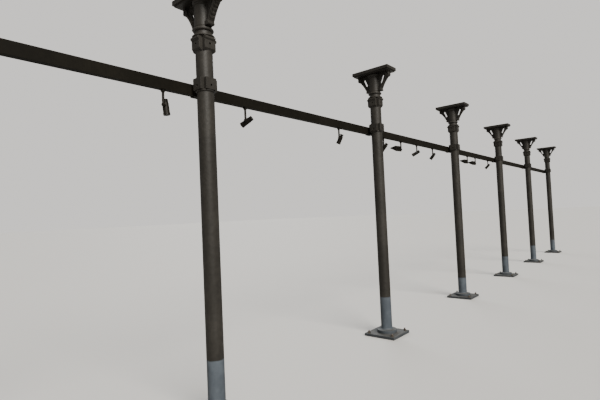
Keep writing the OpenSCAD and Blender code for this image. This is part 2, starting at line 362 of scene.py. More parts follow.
columnPaint = {
    "color": (0.0290, 0.0268, 0.0230),
    "thinColor": (0.049, 0.045, 0.039),
    "roughness": 0.34,
    "shine": 0.32,
    "grain": 330.0,
    "swell": 21.0,
    "grainDepth": 0.0012,
    "seamHeight": 0.9,
    "wearColor": (0.125, 0.112, 0.092),
    "wearWidth": 0.006,
    "wearAmount": 0.65,
    "dust": 0.45,
    "foot": {
        "color": (0.076, 0.091, 0.110),
        "thinColor": (0.112, 0.133, 0.157),
        "tops": (0.52, 0.565, 0.585, 0.42, 0.53, 0.55, 0.50),  # above the floor, on each column
        "edge": (-0.004, 0.010),
        "waves": (24.0, 2.0, 0.5),
        "waveHeight": 0.012,
        "blotches": (6.0, 5.0, 0.6),
        "blotchEdge": (0.35, 0.7),
        "dullness": 0.08,
        # where the band turns darker towards the floor, and how much
        "floorDarkEdge": (0.02, 0.14),
        "floorDarkAmount": 0.55,
        "scuffs": (75.0, 6.0, 0.75),
        "scuffEdge": (0.66, 0.74),
        "scuffReach": (0.8, 1.3),  # fewer and fewer between these heights
        "scuffAmount": 0.4,
    },
}
capitalPaint = dict(columnPaint, dust=0.6, wearAmount=0.6)
beamPaint = {
    "color": (0.0080, 0.0070, 0.0046),
    "thinColor": (0.0135, 0.0116, 0.0080),
    "roughness": 0.50,
    "shine": 0.12,
    "grain": 700.0,
    "swell": 12.0,
    "grainDepth": 0.00025,
    "wearColor": (0.055, 0.049, 0.038),
    "wearWidth": 0.0025,
    "wearAmount": 0.45,
    "dust": 0.6,
}
bracketPaint = dict(beamPaint, swell=30.0)
lampPaint = dict(
    beamPaint,
    color=(0.0105, 0.0088, 0.0060),
    thinColor=(0.0165, 0.0140, 0.0100),
    roughness=0.36,
    shine=0.22,
    grain=1200.0,
    swell=60.0,
    dust=0.4,
)


def makePaintedMetal(name, look):
    material, tree, shader = newMaterial(name, {"Metallic": 0.0, "Specular IOR Level": look["shine"]})
    space = useGroup(tree, rowSpace)
    place = space["Place"]
    coat = {"Color": look["color"], "Thin Color": look["thinColor"], "Base Roughness": look["roughness"]}
    paint = useGroup(tree, brushedPaint, {"Place": place, "Stretched": space["Stretched"], **coat})
    color, rough = paint["Color"], paint["Roughness"]
    if "foot" in look:
        color, rough = addFootBand(tree, space, look, color, rough)
    worn = {"Place": place, "Width": look["wearWidth"], "Amount": look["wearAmount"]}
    wear = useGroup(tree, edgeWear, worn)
    color = blendColors(tree, wear["Mask"], color, look["wearColor"])
    dust = useGroup(tree, dustFall, {"Place": place, "Amount": look["dust"]})["Mask"]
    rough = plus(tree, rough, times(tree, dust, dustLook["dullness"]), clamp=True)
    feed(tree, shader.inputs["Base Color"], blendColors(tree, dust, color, dustLook["color"]))
    feed(tree, shader.inputs["Roughness"], rough)
    skin = {"Place": place, "Grain": look["grain"], "Swell": look["swell"]}
    height = useGroup(tree, castGrain, skin)["Height"]
    height = plus(tree, height, times(tree, paint["Strokes"], brushLook["strokeRelief"]))
    if "seamHeight" in look:
        seam = useGroup(tree, castSeam, {"Place": place})["Height"]
        height = plus(tree, height, times(tree, seam, look["seamHeight"]))
    feed(tree, shader.inputs["Normal"], bumpFrom(tree, height, look["grainDepth"], wear["Normal"]))
    return material


def addFootBand(tree, space, look, color, rough):
    # the lowest half metre is a lighter blue-grey, with scuffs up to hand height
    foot, place, height = look["foot"], space["Place"], space["Height"]
    top = 0.0
    for number, level in enumerate(foot["tops"], 1):
        here = calc(tree, "COMPARE", space["Number"], number)
        top = plus(tree, top, times(tree, here, level))
    wavy = plus(tree, height, times(tree, noise(tree, place, *foot["waves"]), foot["waveHeight"]))
    band = ramp(tree, calc(tree, "SUBTRACT", wavy, top), *foot["edge"], 1.0, 0.0)
    lift = ramp(tree, noise(tree, place, *foot["blotches"]), *foot["blotchEdge"])
    coat = blendColors(tree, lift, foot["color"], foot["thinColor"])
    # the band darkens towards the floor, back to the column's upper colour
    floorDark = ramp(tree, height, *foot["floorDarkEdge"], foot["floorDarkAmount"], 0.0)
    coat = blendColors(tree, floorDark, coat, look["color"])
    color = blendColors(tree, band, color, coat)
    scuffs = ramp(tree, noise(tree, place, *foot["scuffs"]), *foot["scuffEdge"])
    reach = ramp(tree, height, *foot["scuffReach"], foot["scuffAmount"], 0.0)
    color = blendColors(tree, times(tree, scuffs, reach), color, look["wearColor"])
    return color, plus(tree, rough, times(tree, band, foot["dullness"]), clamp=True)


steelSkin = {
    "stains": (90.0, 5.0, 0.7),
    "stainEdge": (0.45, 0.7),
    "stainDullness": 0.3,
    "grain": 900.0,
    "swell": 120.0,
    "grainDepth": 0.0002,
}
boltSteelLook = {
    "color": (0.20, 0.18, 0.16),
    "roughness": 0.42,
    "stainColor": (0.16, 0.11, 0.07),
    "stain": 1.0,
}
dishMetalLook = {
    "color": (0.80, 0.79, 0.77),
    "roughness": 0.14,
    "stainColor": (0.66, 0.64, 0.60),
    "stain": 0.25,
}


def makeBareSteel(name, look, skin):
    material, tree, shader = newMaterial(name, {"Metallic": 1.0})
    place = useGroup(tree, rowSpace)["Place"]
    stain = ramp(tree, noise(tree, place, *skin["stains"]), *skin["stainEdge"], 0.0, look["stain"])
    rough = plus(tree, look["roughness"], times(tree, stain, skin["stainDullness"]), clamp=True)
    feed(tree, shader.inputs["Base Color"], blendColors(tree, stain, look["color"], look["stainColor"]))
    feed(tree, shader.inputs["Roughness"], rough)
    grain = {"Place": place, "Grain": skin["grain"], "Swell": skin["swell"]}
    height = useGroup(tree, castGrain, grain)["Height"]
    feed(tree, shader.inputs["Normal"], bumpFrom(tree, height, skin["grainDepth"] * look["stain"]))
    return material


phosphorLook = {
    "color": (0.66, 0.50, 0.12),
    "deepColor": (0.55, 0.38, 0.07),
    "coat": 0.4,
    "grains": (1400.0, 3.0, 0.6),
    "grainEdge": (0.35, 0.65),
    "roughness": (0.28, 0.45),
}


def makeChipPhosphor(look):
    # the yellow coating on a lamp's light chips, finely speckled
    material, tree, shader = newMaterial("chipPhosphor", {"Coat Weight": look["coat"]})
    place = useGroup(tree, rowSpace)["Place"]
    grains = ramp(tree, noise(tree, place, *look["grains"]), *look["grainEdge"])
    feed(tree, shader.inputs["Base Color"], blendColors(tree, grains, look["color"], look["deepColor"]))
    feed(tree, shader.inputs["Roughness"], ramp(tree, grains, 0.0, 1.0, *look["roughness"]))
    return material


glassLook = {
    "color": (0.72, 0.74, 0.74),
    "hazeColor": (0.86, 0.87, 0.86),
    "roughness": 0.06,
    "bending": 1.5,
    "clearness": 0.85,
    "haze": (260.0, 3.0, 0.6),
    "hazeDepth": 0.0001,
}


def makeLensGlass(look):
    # front glass of a lamp, with a little haze in it
    clear = {"IOR": look["bending"], "Transmission Weight": look["clearness"]}
    material, tree, shader = newMaterial("lampGlass", {"Roughness": look["roughness"], **clear})
    place = addNode(tree, "ShaderNodeTexCoord").outputs["Object"]
    haze = noise(tree, place, *look["haze"])
    feed(tree, shader.inputs["Base Color"], blendColors(tree, haze, look["color"], look["hazeColor"]))
    feed(tree, shader.inputs["Normal"], bumpFrom(tree, haze, look["hazeDepth"]))
    return material


paints = {
    "column_iron": makePaintedMetal("columnPaint", columnPaint),
    "capital_iron": makePaintedMetal("capitalPaint", capitalPaint),
    "beam_steel": makePaintedMetal("beamPaint", beamPaint),
    "bracket_steel": makePaintedMetal("bracketPaint", bracketPaint),
    "adaptor_black": makePaintedMetal("adaptorPlastic", lampPaint),
    "arm_black": makePaintedMetal("armPaint", lampPaint),
    "lamp_black": makePaintedMetal("lampPaint", lampPaint),
}
boltSteel = makeBareSteel("boltSteel", boltSteelLook, steelSkin)
dishMetal = makeBareSteel("dishMetal", dishMetalLook, steelSkin)
chipPhosphor = makeChipPhosphor(phosphorLook)
lampGlass = makeLensGlass(glassLook)
print("materials made")


def paintNodes(names, slotName):
    for name in names:
        mesh = nodes[name].data
        mesh.materials.clear()
        mesh.materials.append(paints[slotName])


columnNumbers = range(1, columnCount + 1)
lampNumbers = range(1, lampCount + 1)
paintNodes([f"shaft_{i}" for i in columnNumbers], "column_iron")
paintNodes([f"capital_{i}" for i in columnNumbers], "capital_iron")
paintNodes([f"beam_{i}" for i in range(1, columnCount)], "beam_steel")
paintNodes(["beam_brackets"], "bracket_steel")
paintNodes(["lamp_adaptors"], "adaptor_black")
paintNodes([f"lamp_{i}_arm" for i in lampNumbers], "arm_black")
paintNodes([f"lamp_{i}_head" for i in lampNumbers], "lamp_black")
print("frame painted")


# ways to make a piece's surface and to finish it


def turned(mesh, profile, place, sides):
    # profile is a line of (radius, height) pairs round the Z axis of place
    angles = [2 * math.pi * k / sides for k in range(sides)]
    rings = []
    for radius, height in profile:
        spots = [(radius * math.cos(a), radius * math.sin(a)) for a in angles] if radius else [(0, 0)]
        rings.append([mesh.verts.new(place @ Vector((x, y, height))) for x, y in spots])
    for lower, upper in zip(rings, rings[1:]):
        for k in range(sides):
            spots = ((lower, k), (lower, k + 1), (upper, k + 1), (upper, k))
            corners = [ring[n % len(ring)] for ring, n in spots]
            distinct = [corner for n, corner in enumerate(corners) if corner not in corners[:n]]
            if len(distinct) > 2:
                mesh.faces.new(distinct)


def joinLoops(mesh, loops, leftOpen=None):
    # a skin from each loop of vertices to the next, with one strip left open where asked for
    for before, after in zip(loops, loops[1:]):
        for k in range(len(before)):
            if k != leftOpen:
                mesh.faces.new([before[k - 1], before[k], after[k], after[k - 1]])


def closeSweep(mesh, rings):
    # joins rings of vertices to one closed skin
    joinLoops(mesh, rings)
    mesh.faces.new(rings[0])
    mesh.faces.new(rings[-1])


def pressed(mesh, rings, place):
    # rings of equal count, each given by its outline and its height; the first and the last are closed
    loops = []
    for outline, height in rings:
        loops.append([mesh.verts.new(place @ Vector((x, y, height))) for x, y in outline])
    joinLoops(mesh, loops)
    mesh.faces.new(list(reversed(loops[0])))
    mesh.faces.new(loops[-1])


def roundedOutline(width, height, corner, steps=5):
    points = []
    for k, (x, y) in enumerate(((1, 1), (-1, 1), (-1, -1), (1, -1))):
        middle = (x * (width / 2 - corner), y * (height / 2 - corner))
        for step in range(steps + 1):
            angle = math.radians(90 * k + 90 * step / steps)
            points.append((middle[0] + corner * math.cos(angle), middle[1] + corner * math.sin(angle)))
    return points


def finishPiece(name, mesh, material, body, smoothBelow=40):
    bmesh.ops.recalc_face_normals(mesh, faces=mesh.faces)
    data = bpy.data.meshes.new(name)
    mesh.to_mesh(data)
    mesh.free()
    data.materials.append(material)
    piece = addObject(name, data)
    data.shade_smooth()
    data.set_sharp_from_angle(angle=math.radians(smoothBelow))
    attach(piece, body)


leafShape = {
    "steps": 8,
    "waveStart": 0.1,  # the width follows this share of a half wave
    "waveEnd": 0.998,
    "slimness": 0.7,  # power of that wave
    "endLift": 0.55,  # share of the relief at foot and tip
    "cheek": ((0.5, 0.62), (0.95, 0.8), (1, -0.1)),  # shares of half width and lift, from vein to edge
}
bracketLeaf = {
    "arcPlace": (0.5933, -0.1539),  # centre of the rib's curve, from the column's axis and above the joint
    "arcRadius": 0.500,
    "from": 155.5,  # degrees round that centre
    "to": 133.5,
    "pairs": 5,
    "firstPair": 0.1,  # in steps from the start
    "shrink": 0.035,  # of each pair against the one below
    "leafLength": 0.045,
    "leafWidth": 0.0205,
    "relief": 0.0080,
    "spread": 50.0,  # degrees between the stem and a leaf
    "stemWidth": 0.014,
    "stemOverlap": 1.12,
    "stemRelief": 1.15,  # share of the leaves' relief
}


def arcFrame(look, angle):
    # place on the rib's front, with Y along the curve upwards, X across it and Z out of the iron
    a = math.radians(angle)
    reach = look["arcPlace"][0] + look["arcRadius"] * math.cos(a)
    height = look["arcPlace"][1] + look["arcRadius"] * math.sin(a)
    out = Vector((0, -math.cos(a), -math.sin(a)))
    along = Vector((0, math.sin(a), -math.cos(a)))
    turn = Matrix((along.cross(out), along, out)).transposed().to_4x4()
    return Matrix.Translation((0, reach, height)) @ turn


def leafBlade(mesh, place, length, width, relief, shape):
    # a pointed leaf with a raised middle vein and hollow cheeks
    section = [(-u, v) for u, v in reversed(shape["cheek"])] + [(0, 1), *shape["cheek"]]
    rings = []
    for k in range(shape["steps"] + 1):
        t = k / shape["steps"]
        wave = min(t * (1 - shape["waveStart"]) + shape["waveStart"], shape["waveEnd"])
        half = width / 2 * math.sin(math.pi * wave) ** shape["slimness"]
        lift = relief * (shape["endLift"] + (1 - shape["endLift"]) * math.sin(math.pi * t))
        spots = [Vector((half * u, t * length, lift * v)) for u, v in section]
        rings.append([mesh.verts.new(place @ spot) for spot in spots])
    closeSweep(mesh, rings)


def columnSides():
    # both ways round at the joint of every column
    for x in columnPlaces:
        for side in (0, 180):
            yield Matrix.Translation((x, 0, jointHeight)) @ Matrix.Rotation(math.radians(side), 4, "Z")


def makeBracketLeaves(look, shape):
    mesh = bmesh.new()
    step = (look["to"] - look["from"]) / look["pairs"]
    stemLength = math.radians(abs(step)) * look["arcRadius"] * look["stemOverlap"]
    stemRelief = look["relief"] * look["stemRelief"]
    for base in columnSides():
        for k in range(look["pairs"]):
            spot = base @ arcFrame(look, look["from"] + step * (k + look["firstPair"]))
            size = 1.0 - look["shrink"] * k
            length, width = look["leafLength"] * size, look["leafWidth"] * size
            for lean in (-1, 1):
                leaf = spot @ Matrix.Rotation(math.radians(-lean * look["spread"]), 4, "Z")
                leafBlade(mesh, leaf, length, width, look["relief"], shape)
        for k in range(look["pairs"]):
            spot = base @ arcFrame(look, look["from"] + step * k)
            leafBlade(mesh, spot, stemLength, look["stemWidth"], stemRelief, shape)
    finishPiece("bracket_leaves", mesh, paints["capital_iron"], fixedBody, smoothBelow=50)


volute = {
    "scrollPlace": (0.243, 0.228),  # from the column's axis and above the joint
    "eyeOffset": (0.010, 0.012),  # from the scroll's middle
    "startRadius": 0.0275,
    "endRadius": 0.0125,
    "startAngle": 100.0,
    "turns": 1.6,
    "steps": 60,
    "width": 0.0042,
    "taper": 0.45,  # share of the width lost towards the eye
    "relief": 0.0032,
    "face": 0.039,  # from the bracket's middle to its side
    "section": ((-0.5, -0.1), (-0.42, 0.6), (0, 1), (0.42, 0.6), (0.5, -0.1)),  # shares of width and relief
}


def windVolute(mesh, base, face, look):
    rings = []
    for k in range(look["steps"] + 1):
        t = k / look["steps"]
        angle = math.radians(look["startAngle"]) - 2 * math.pi * look["turns"] * t
        radius = look["startRadius"] + (look["endRadius"] - look["startRadius"]) * t
        middle = [place + offset * t for place, offset in zip(look["scrollPlace"], look["eyeOffset"])]
        size = look["width"] * (1 - look["taper"] * t)
        ring = []
        for across, rise in look["section"]:
            reach = middle[0] + (radius + across * size) * math.cos(angle)
            height = middle[1] + (radius + across * size) * math.sin(angle)
            spot = Vector((face * (look["face"] + look["relief"] * rise), reach, height))
            ring.append(mesh.verts.new(base @ spot))
        rings.append(ring)
    closeSweep(mesh, rings)


def makeVolutes(look):
    # a rolled ridge that winds from the edge of every scroll to its eye, on both sides
    mesh = bmesh.new()
    for base in columnSides():
        for face in (-1, 1):
            windVolute(mesh, base, face, look)
    finishPiece("scroll_volutes", mesh, paints["capital_iron"], fixedBody, smoothBelow=50)


makeBracketLeaves(bracketLeaf, leafShape)
makeVolutes(volute)
print("capital ornament made")


# the photo shows bolt seats on the columns' faces along the row too, with the shapes of the two across it
rowSeat = {
    "width": 0.120,
    "face": 0.100,  # from the column's axis
    "skin": 0.084,  # the seats' backs follow this radius, inside the iron of the shaft
    "sunk": 0.070,  # and lie no farther out than this
    "holeRadius": 0.011,
    "holeDepth": 0.028,
    "steps": 6,
    "low": {
        "foot": -0.630,  # from the capital's joint
        "hole": 0.042,  # above the seat's foot
        "facePoint": 0,  # where the profile's flat face begins
        "profile": ((0.100, 0), (0.100, 0.115)),
    },
    "high": {
        "foot": -0.248,
        "hole": 0.069,
        "facePoint": 1,
        "profile": (
            (0.077, 0), (0.100, 0.022), (0.100, 0.102),
            (0.114, 0.116), (0.114, 0.132), (0.108, 0.138),
        ),
    },
}


def seatBlock(mesh, place, look, seat):
    # swept from side to side, with the face left open for the bolt hole
    steps, profile, foot = look["steps"], seat["profile"], seat["foot"]
    low, high = seat["facePoint"] + 1, seat["facePoint"] + 2

    def put(reach, along, height):
        return mesh.verts.new(place @ Vector((reach, along, foot + height)))

    across = [look["width"] * (k / steps - 0.5) for k in range(steps + 1)]
    rings = []
    for along in across:
        inner = min(math.sqrt(look["skin"] ** 2 - along ** 2), look["sunk"])
        section = ((inner, 0), *profile, (inner, profile[-1][1]))
        rings.append([put(reach, along, height) for reach, height in section])
    joinLoops(mesh, rings, high)
    bottom, top = profile[low - 1][1], profile[high - 1][1]
    rises = [bottom + (top - bottom) * k / steps for k in range(1, steps)]
    sides = [[put(look["face"], along, height) for height in rises] for along in (across[0], across[-1])]
    for ring, side in ((rings[0], sides[0]), (rings[-1], sides[1])):
        mesh.faces.new([*ring[:high], *side, *ring[high:]])
    # the face, as a skin from its border to the rim of the hole and on to the hole's floor
    border = [ring[low] for ring in rings] + sides[1]
    border += [ring[high] for ring in reversed(rings)] + sides[0][::-1]
    spots = [(along, bottom) for along in across] + [(across[-1], height) for height in rises]
    spots += [(along, top) for along in reversed(across)]
    spots += [(across[0], height) for height in reversed(rises)]
    angles = [math.atan2(height - seat["hole"], along) for along, height in spots]
    radius = look["holeRadius"]
    rim = [(radius * math.cos(angle), seat["hole"] + radius * math.sin(angle)) for angle in angles]
    loops = [border]
    for reach in (look["face"], look["face"] - look["holeDepth"]):
        loops.append([put(reach, along, height) for along, height in rim])
    joinLoops(mesh, loops)
    mesh.faces.new(loops[-1])


def makeRowSeats(look):
    mesh = bmesh.new()
    for place in columnSides():
        for seat in (look["low"], look["high"]):
            seatBlock(mesh, place, look, seat)
    finishPiece("seats_along_row", mesh, paints["column_iron"], fixedBody)


makeRowSeats(rowSeat)
print("seats along the row made")


boltShape = {
    "chamferRise": 0.7,  # height of a nut's chamfer for its depth
    "washerEdge": 0.3,  # share of the washer's height
    "washerSides": 28,
    "threadRoot": 0.9,  # share of the stud's radius
    "studTip": 0.87,
    "studSides": 20,
}


def hexHead(mesh, place, radius, start, height, edge):
    inner, rise, top = radius - edge, edge * boltShape["chamferRise"], start + height
    profile = [(0, start), (inner, start), (radius, start + rise)]
    profile += [(radius, top - rise), (inner, top), (0, top)]
    turned(mesh, profile, place, sides=6)


def washer(mesh, place, radius, height):
    edge = height * boltShape["washerEdge"]
    profile = [(0, 0), (radius, 0), (radius, height - edge), (radius - edge, height), (0, height)]
    turned(mesh, profile, place, boltShape["washerSides"])


def threadedStud(mesh, place, radius, start, top, pitch):
    profile = [(0, start)]
    height = start
    while height < top - 2 * pitch:
        profile += [(radius * boltShape["threadRoot"], height), (radius, height + pitch / 2)]
        height += pitch
    profile += [(radius * boltShape["studTip"], top), (0, top)]
    turned(mesh, profile, place, boltShape["studSides"])


footBolt = {
    "pitch": 0.400,
    "plateTop": 0.040,
    "washerRadius": 0.024,
    "washerHeight": 0.004,
    "nutRadius": 0.0208,  # corner to axis
    "nutHeight": 0.019,
    "nutChamfer": 0.003,
    "studRadius": 0.012,
    "studTop": 0.040,  # above the foot plate
    "studSunk": 0.001,  # in the nut's top
    "threadPitch": 0.0025,
    "turn": 1.3,  # radians from one nut to the next, as no two stand alike
}


def makeFoundationBolts(look):
    mesh = bmesh.new()
    toCorner = Vector((look["pitch"] / math.sqrt(2), 0, 0))
    studFoot = look["washerHeight"] + look["nutHeight"] - look["studSunk"]
    for x in columnPlaces:
        for k in range(4):
            corner = Matrix.Rotation(math.radians(45 + 90 * k), 4, "Z") @ toCorner
            spot = Matrix.Translation((x + corner.x, corner.y, look["plateTop"]))
            place = spot @ Matrix.Rotation(look["turn"] * k + x, 4, "Z")
            washer(mesh, place, look["washerRadius"], look["washerHeight"])
            hexHead(
                mesh, place, look["nutRadius"], look["washerHeight"], look["nutHeight"], look["nutChamfer"]
            )
            threadedStud(mesh, place, look["studRadius"], studFoot, look["studTop"], look["threadPitch"])
    finishPiece("foundation_bolts", mesh, boltSteel, fixedBody, smoothBelow=30)


cradleBolt = {
    "spacing": 0.070,
    "aboveShelf": 0.016,  # from the cradle's underside
    "washerRadius": 0.0085,
    "washerHeight": 0.0016,
    "headRadius": 0.0075,
    "headHeight": 0.0053,
    "headChamfer": 0.0011,
    "turn": 0.7,  # radians from one bolt to the next
}


def makeCradleBolts(look):
    mesh = bmesh.new()
    height = cradleLow[2] + look["aboveShelf"]
    for x in columnPlaces:
        for k, side in enumerate((-1, 1)):
            spot = Matrix.Translation((x + side * look["spacing"] / 2, cradleHigh[1], height))
            place = spot @ Matrix.Rotation(math.radians(-90), 4, "X")
            place = place @ Matrix.Rotation(look["turn"] * k + x, 4, "Z")
            washer(mesh, place, look["washerRadius"], look["washerHeight"])
            hexHead(
                mesh, place, look["headRadius"], look["washerHeight"], look["headHeight"], look["headChamfer"]
            )
    finishPiece("cradle_bolts", mesh, boltSteel, fixedBody, smoothBelow=30)


endScrew = {
    "radius": 0.0045,
    "height": 0.0022,
    "fromEdge": 0.012,
    "dome": ((0, 0), (1, 0), (1, 0.35), (0.86, 0.75), (0.6, 1)),  # shares of radius and height
    "socketRadius": 0.0021,
    "socket": ((1, 1), (0.96, 0.3), (0, 0.25)),  # shares of its radius and of the height
    "sides": 24,
}


def makeEndScrews(look):
    # round-headed screws with a socket, four on each end of the beam
    mesh = bmesh.new()
    profile = [(look["radius"] * r, look["height"] * h) for r, h in look["dome"]]
    profile += [(look["socketRadius"] * r, look["height"] * h) for r, h in look["socket"]]
    ends = ((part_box("beam_1")[0], -1), (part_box(f"beam_{columnCount - 1}")[1], 1))
    for corner, side in ends:
        for y in (beamLow[1] + look["fromEdge"], beamHigh[1] - look["fromEdge"]):
            for z in (beamLow[2] + look["fromEdge"], beamHigh[2] - look["fromEdge"]):
                spot = Matrix.Translation((corner[0], y, z))
                turned(mesh, profile, spot @ Matrix.Rotation(math.radians(90 * side), 4, "Y"), look["sides"])
    finishPiece("end_cap_screws", mesh, boltSteel, fixedBody, smoothBelow=30)


makeFoundationBolts(footBolt)
makeCradleBolts(cradleBolt)
makeEndScrews(endScrew)
print("bolts and screws made")


# what the lamp heads hold, each in the head's own axes: X along its nose, Y along the tilting pin, Z up


def lampPlace(number):
    tilt = joints[f"lamp_{number}_tilt"]
    sideways = Vector(tilt["axis"])
    turn = math.atan2(-sideways[0], sideways[1])
    dip = math.radians(-tilt["range_deg"][0])
    return Matrix.Translation(tilt["pos_m"]) @ Matrix.Rotation(turn, 4, "Z") @ Matrix.Rotation(dip, 4, "Y")


def headSpan(number):
    toOwn = lampPlace(number).inverted()
    points = [toOwn @ vertex.co for vertex in nodes[f"lamp_{number}_head"].data.vertices]
    return [[pick(point[axis] for point in points) for axis in range(3)] for pick in (min, max)]


def hangSide(low, high):
    # the side of the stem that the head hangs on, with the knob on the other
    return 1 if low[1] + high[1] > 0 else -1


def middleLine(low, high, width):
    hang = hangSide(low, high)
    return (high[1] if hang > 0 else low[1]) - hang * width / 2


spotFront = {
    "depth": 0.014,  # of the open snoot
    "radius": 0.0277,
    "sides": 40,
    "dishFloor": 0.0004,  # above the snoot's floor, as all heights here
    "dishRise": 0.0032,
    "dishSkin": 0.0005,
    "dishSteps": 8,
    "dishSides": 36,
    "chipFoot": 0.0008,
    "chipRadius": 0.0085,
    "chipProfile": ((0, 0), (1, 0), (1, 0.0007), (0.92, 0.0011), (0.5, 0.0014), (0, 0.0015)),
    "chipSides": 32,
    "glassLow": 0.0052,
    "glassHigh": 0.0076,
    "ridges": 7,
    "ridgeHeight": 0.001,
    "ridgeFoot": 0.998,  # shares of a ridge's outer and inner radius
    "ridgeCrest": 1.01,
    "middleRadius": 0.0004,  # of the innermost crest
    "bezelGap": 0.0001,
    "bezelWidth": 0.0022,
    "bezelHeight": 0.0022,
    "bezelOuterEdge": (0.0005, 0.0004),  # width and height of its chamfers
    "bezelInnerEdge": (0.0008, 0.0009),
}


def makeSpotDish(lamp, nose, look):
    mesh = bmesh.new()
    shares = [k / look["dishSteps"] for k in range(look["dishSteps"] + 1)]
    under = [(look["radius"] * share, look["dishFloor"] + look["dishRise"] * share ** 2) for share in shares]
    upper = [(radius, height + look["dishSkin"]) for radius, height in reversed(under)]
    turned(mesh, under + upper, nose, look["dishSides"])
    finishPiece(f"{lamp}_dish", mesh, dishMetal, f"{lamp}_head", smoothBelow=2)


def makeSpotChip(lamp, nose, look):
    mesh = bmesh.new()
    radius, foot = look["chipRadius"], look["chipFoot"]
    profile = [(radius * share, foot + height) for share, height in look["chipProfile"]]
    turned(mesh, profile, nose, look["chipSides"])
    finishPiece(f"{lamp}_chip", mesh, chipPhosphor, f"{lamp}_head")


def makeSpotGlass(lamp, nose, look):
    # ridged front glass, each ridge steep on its inner side
    mesh = bmesh.new()
    radius, top = look["radius"], look["glassHigh"]
    valley = top - look["ridgeHeight"]
    profile = [(0, look["glassLow"]), (radius, look["glassLow"]), (radius, valley)]
    for k in reversed(range(look["ridges"])):
        inner, outer = radius * k / look["ridges"], radius * (k + 1) / look["ridges"]
        crest = max(inner, look["middleRadius"]) * look["ridgeCrest"]
        profile += [(outer * look["ridgeFoot"], valley), (crest, top)]
    turned(mesh, profile + [(0, top)], nose, look["sides"])
    finishPiece(f"{lamp}_glass", mesh, lampGlass, f"{lamp}_head")


def makeSpotBezel(lamp, nose, look):
    mesh = bmesh.new()
    outer, inner = look["radius"], look["radius"] - look["bezelWidth"]
    start, top = look["glassHigh"] + look["bezelGap"], look["glassHigh"] + look["bezelHeight"]
    (outerIn, outerDown), (innerOut, innerDown) = look["bezelOuterEdge"], look["bezelInnerEdge"]
    profile = [(inner, start), (outer, start), (outer, top - outerDown), (outer - outerIn, top)]
    profile += [(inner + innerOut, top), (inner, top - innerDown), (inner, start)]
    turned(mesh, profile, nose, look["sides"])
    finishPiece(f"{lamp}_bezel", mesh, paints["lamp_black"], f"{lamp}_head")


def makeSpotFront(number, look):
    low, high = headSpan(number)
    side = middleLine(low, high, high[2] - low[2])
    nose = lampPlace(number) @ Matrix.Translation((high[0] - look["depth"], side, 0))
    nose = nose @ Matrix.Rotation(math.radians(90), 4, "Y")
    for makePart in (makeSpotDish, makeSpotChip, makeSpotGlass, makeSpotBezel):
        makePart(f"lamp_{number}", nose, look)


floodFront = {
    "bodyWidth": 0.150,
    "rim": 0.008,
    "pocket": 0.006,
    "play": 0.0006,  # of what lies in the pocket
    "corner": 0.003,
    "panFloor": 0.0002,  # above the pocket's floor, as all heights here
    "panTop": 0.0028,
    "panLip": 0.006,
    "panDrop": 0.0018,
    "panSteps": 4,
    "panWidth": 0.092,  # of the innermost step
    "panHeight": 0.070,
    "panCorner": 0.005,
    "panRidge": (0.002, 0.0002),  # width and height
    "chips": (8, 5),
    "chipPitch": (0.0106, 0.0120),
    "chipSize": 0.0052,
    "chipCorner": 0.0007,
    "chipCornerSteps": 2,
    "chipLayers": ((1, 0.0011), (1, 0.0017), (0.86, 0.0020)),  # share of the size, and height
    "glassLow": 0.0032,
    "glassHigh": 0.0050,
    "glassEdge": (0.0016, 0.0005),
    "screwRadius": 0.0028,
    "screwProfile": ((0, 0), (1, 0), (0.9, 0.0008), (0.5, 0.0012), (0.45, 0.0004), (0, 0.0004)),
    "screwSides": 18,
}


def makeFloodPan(lamp, floor, wide, tall, look):
    # a reflector pan in steps, with a low ridge along each of them
    mesh = bmesh.new()
    top, lipWide, lipTall = look["panTop"], wide - look["panLip"], tall - look["panLip"]
    whole = roundedOutline(wide, tall, look["corner"])
    lip = roundedOutline(lipWide, lipTall, look["corner"])
    rings = [(whole, look["panFloor"]), (whole, top), (lip, top)]
    for k in range(look["panSteps"]):
        share = (k + 1) / look["panSteps"]
        width = lipWide + (look["panWidth"] - lipWide) * share
        height = lipTall + (look["panHeight"] - lipTall) * share
        for less, more in ((0, 0), look["panRidge"]):
            outline = roundedOutline(width - less, height - less, look["panCorner"])
            rings.append((outline, top - look["panDrop"] * share + more))
    pressed(mesh, rings, floor)
    finishPiece(f"{lamp}_reflector", mesh, dishMetal, f"{lamp}_head", smoothBelow=20)


def makeFloodChips(lamp, floor, look):
    mesh = bmesh.new()
    layers = []
    for share, level in look["chipLayers"]:
        size = look["chipSize"] * share
        layers.append((roundedOutline(size, size, look["chipCorner"], look["chipCornerSteps"]), level))
    columns, rows = look["chips"]
    for column in range(columns):
        for row in range(rows):
            x = (column - (columns - 1) / 2) * look["chipPitch"][0]
            y = (row - (rows - 1) / 2) * look["chipPitch"][1]
            pressed(mesh, layers, floor @ Matrix.Translation((x, y, 0)))
    finishPiece(f"{lamp}_chips", mesh, chipPhosphor, f"{lamp}_head", smoothBelow=30)


def makeFloodGlass(lamp, floor, wide, tall, look):
    mesh = bmesh.new()
    low, high = look["glassLow"], look["glassHigh"]
    less, rise = look["glassEdge"]
    whole = roundedOutline(wide, tall, look["corner"])
    cut = roundedOutline(wide - less, tall - less, look["corner"])
    pressed(mesh, [(cut, low), (whole, low + rise), (whole, high - rise), (cut, high)], floor)
    finishPiece(f"{lamp}_glass", mesh, lampGlass, f"{lamp}_head", smoothBelow=20)


def makeFloodScrews(lamp, floor, wide, tall, look):
    mesh = bmesh.new()
    profile = [(look["screwRadius"] * share, height) for share, height in look["screwProfile"]]
    for x in (-1, 1):
        for y in (-1, 1):
            corner = (x * (wide + look["rim"]) / 2, y * (tall + look["rim"]) / 2, look["pocket"])
            turned(mesh, profile, floor @ Matrix.Translation(corner), look["screwSides"])
    finishPiece(f"{lamp}_screws", mesh, boltSteel, f"{lamp}_head", smoothBelow=30)


